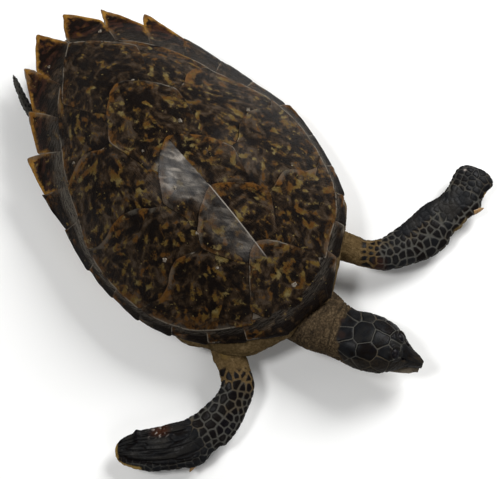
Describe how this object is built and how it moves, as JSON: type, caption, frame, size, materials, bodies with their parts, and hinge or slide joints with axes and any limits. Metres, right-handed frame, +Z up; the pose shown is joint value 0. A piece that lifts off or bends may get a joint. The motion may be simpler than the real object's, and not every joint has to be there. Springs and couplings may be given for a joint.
{
  "type": "mounted sea turtle specimen",
  "caption": "Dried, mounted sea turtle: low domed shell of overlapping scutes with a toothed rear edge, head turned to its left, front flippers spread and hind flippers tucked under.",
  "frame": {"origin": "on the flat middle of the plastron's underside, which is the surface the turtle rests on, under the middle of the shell", "axes": "+Z up through the shell's peak, +Y to the turtle's rear, +X to the turtle's left"},
  "size_m": [0.5462, 0.5943, 0.1503],
  "materials": {
    "shell_horn": "worn gloss",
    "plastron_horn": "satin",
    "trunk_skin": "dry and wrinkled",
    "scaled_skin": "varnished scales with pale seams",
    "jaw_horn": "satin",
    "eye": "gloss"
  },
  "bodies": {
    "root": {"carapace": "shell_horn", "plastron": "plastron_horn", "trunk": "trunk_skin", "head_and_neck": "scaled_skin", "lower_jaw": "jaw_horn", "left_eye": "eye", "right_eye": "eye", "left_front_flipper": "scaled_skin", "right_front_flipper": "scaled_skin", "left_hind_flipper": "scaled_skin", "right_hind_flipper": "scaled_skin", "tail": "scaled_skin"}
  },
  "joints": []
}
